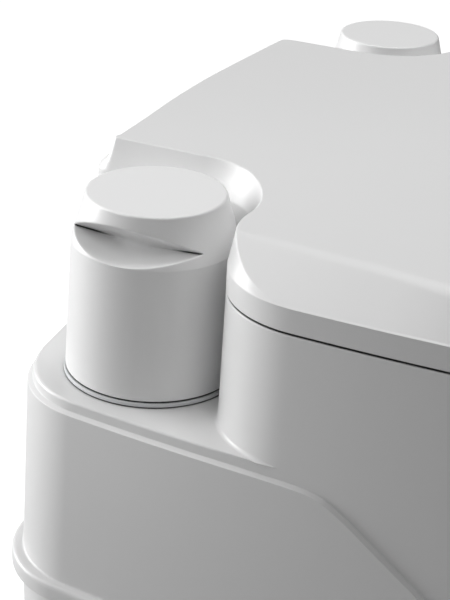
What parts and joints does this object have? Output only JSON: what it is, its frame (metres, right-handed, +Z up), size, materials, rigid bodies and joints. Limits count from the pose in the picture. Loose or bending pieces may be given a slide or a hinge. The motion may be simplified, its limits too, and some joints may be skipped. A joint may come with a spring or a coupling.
{
  "type": "portable toilet",
  "caption": "Portable camping toilet: flush tank with bowl, seat, lid, piston pump and filler, latched onto a waste tank with slide valve and swivel spout.",
  "frame": {"origin": "middle of the footprint, on the floor under the feet", "axes": "+Z up, front towards -Y, +X to the right as seen from the front, pump at the front left"},
  "size_m": [0.383, 0.427, 0.414],
  "materials": {
    "white": "satin",
    "light": "matte",
    "grey": "matte",
    "seal": "matte",
    "hose": "satin",
    "steel": "brushed",
    "window": "clear plastic"
  },
  "bodies": {
    "base": {"flush_tank": "white", "bowl": "white", "hinge_bracket_left": "light", "hinge_bracket_right": "light", "hinge_pin_left": "steel", "hinge_pin_right": "steel", "hinge_screws": "steel", "pump_collar": "light", "pump_barrel": "grey", "rod_guide": "light", "inlet_valve": "seal", "inlet_strainer": "grey", "flush_hose": "hose", "flush_nozzle": "light", "fill_neck": "light", "tank_buffers": "seal", "waste_tank": "white", "feet": "seal", "valve_housing": "light", "valve_cover": "light", "valve_seal": "seal", "valve_screws": "steel", "spout_collar": "light", "spout_seal": "seal", "vent_ring": "light", "level_window": "window", "latch_bracket_left": "grey", "latch_bracket_right": "grey", "latch_pin_left": "steel", "latch_pin_right": "steel", "latch_screws": "steel"},
    "seat_part": {"seat": "white", "seat_buffers": "seal"},
    "lid_part": {"lid": "white", "lid_buffers": "seal"},
    "pump": {"pump_knob": "white", "pump_rod": "steel", "pump_piston": "grey", "piston_seal": "seal"},
    "fill_riser": {"fill_cap_seal": "seal"},
    "fill_cap_part": {"fill_cap": "white"},
    "valve_slider": {"valve_blade": "grey", "valve_handle": "grey"},
    "spout_part": {"spout": "grey"},
    "spout_riser": {"spout_cap_seal": "seal"},
    "spout_cap_part": {"spout_cap": "grey"},
    "vent": {"vent_button": "grey", "vent_seal": "seal"},
    "latch_left_part": {"latch_left": "light"},
    "latch_right_part": {"latch_right": "light"}
  },
  "joints": [
    {"name": "seat_hinge", "type": "hinge", "parent": "base", "child": "seat_part", "pos_m": [0.04, 0.184, 0.397], "axis": [-1, 0, 0], "range_deg": [0, 90]},
    {"name": "lid_hinge", "type": "hinge", "parent": "seat_part", "child": "lid_part", "pos_m": [0.04, 0.184, 0.397], "axis": [-1, 0, 0], "range_deg": [0, 100]},
    {"name": "pump_lift", "type": "slide", "parent": "base", "child": "pump", "axis": [0, 0, 1], "range_m": [0, 0.05]},
    {"name": "fill_cap_rise", "type": "slide", "parent": "base", "child": "fill_riser", "axis": [0, 0, 1], "range_m": [0, 0.005]},
    {"name": "fill_cap_turn", "type": "hinge", "parent": "fill_riser", "child": "fill_cap_part", "pos_m": [-0.118, 0.1695, 0.33], "axis": [0, 0, 1], "range_deg": [0, 370]},
    {"name": "valve_slide", "type": "slide", "parent": "base", "child": "valve_slider", "axis": [0, -1, 0], "range_m": [0, 0.104]},
    {"name": "spout_swivel", "type": "hinge", "parent": "base", "child": "spout_part", "pos_m": [0.12, 0.15, 0.15], "axis": [0, 0, 1], "range_deg": [-90, 0]},
    {"name": "spout_cap_rise", "type": "slide", "parent": "spout_part", "child": "spout_riser", "axis": [-1, 0, 0], "range_m": [0, 0.0055]},
    {"name": "spout_cap_turn", "type": "hinge", "parent": "spout_riser", "child": "spout_cap_part", "pos_m": [-0.03, 0.15, 0.1775], "axis": [-1, 0, 0], "range_deg": [0, 360]},
    {"name": "vent_press", "type": "slide", "parent": "base", "child": "vent", "axis": [0, 0, -1], "range_m": [0, 0.003], "stiffness_N_per_m": 200},
    {"name": "latch_left_swing", "type": "hinge", "parent": "base", "child": "latch_left_part", "pos_m": [-0.1835, 0, 0.1845], "axis": [0, -1, 0], "range_deg": [0, 100]},
    {"name": "latch_right_swing", "type": "hinge", "parent": "base", "child": "latch_right_part", "pos_m": [0.1835, 0, 0.1845], "axis": [0, 1, 0], "range_deg": [0, 100]}
  ],
  "couplings": [
    {"joint": "fill_cap_turn", "follows": "fill_cap_rise", "rad_per_m": 1256.6},
    {"joint": "spout_cap_rise", "follows": "spout_cap_turn", "m_per_rad": 0.00079577}
  ]
}
